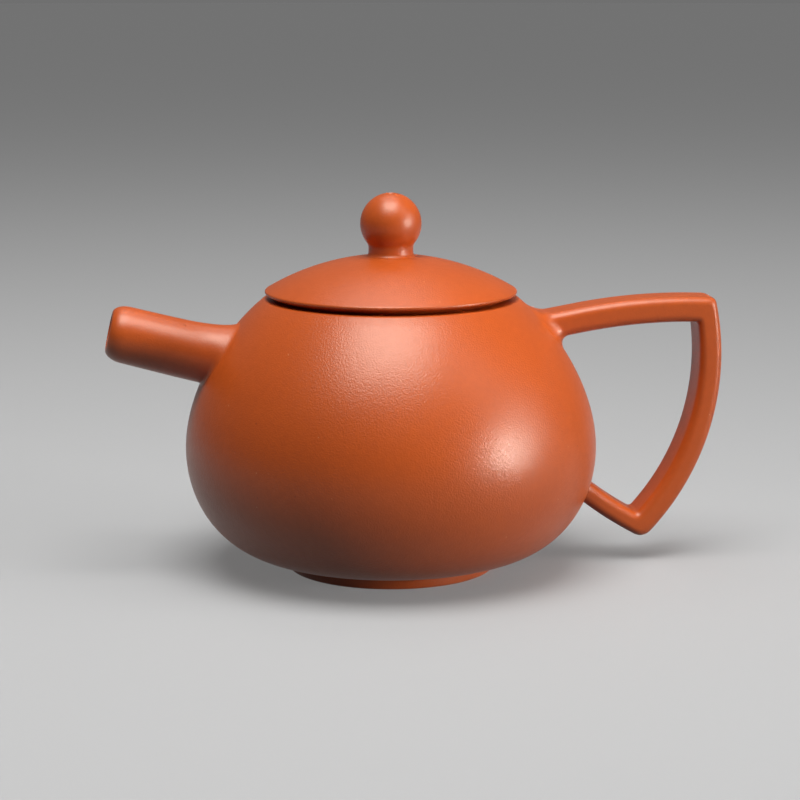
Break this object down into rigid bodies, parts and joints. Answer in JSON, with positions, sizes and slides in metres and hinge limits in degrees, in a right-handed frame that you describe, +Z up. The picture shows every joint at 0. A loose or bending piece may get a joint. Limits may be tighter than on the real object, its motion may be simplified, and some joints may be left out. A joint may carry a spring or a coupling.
{
  "type": "teapot",
  "caption": "Small round unglazed clay teapot with a straight tubular spout, a three-sided loop handle, a foot ring and a domed lift-off lid with a ball knob.",
  "frame": {"origin": "on the axis of the pot, in the plane of the foot ring that it stands on", "axes": "+Z up along the axis of the pot, -X towards the spout, +X towards the handle"},
  "size_m": [0.1321, 0.088, 0.0805],
  "materials": {
    "clay": "unglazed, satin, fine sandy grain"
  },
  "bodies": {
    "pot": {"base_disc": "clay", "belly_wall": "clay", "shoulder_disc": "clay", "mouth_ring": "clay", "foot_ring": "clay", "spout": "clay", "ball_strainer": "clay", "handle": "clay"},
    "lid": {"lid_dome": "clay", "lid_flange": "clay", "knob": "clay"}
  },
  "joints": [
    {"name": "lid_lift", "type": "slide", "parent": "pot", "child": "lid", "axis": [0, 0, 1], "range_m": [0, 0.06]}
  ]
}
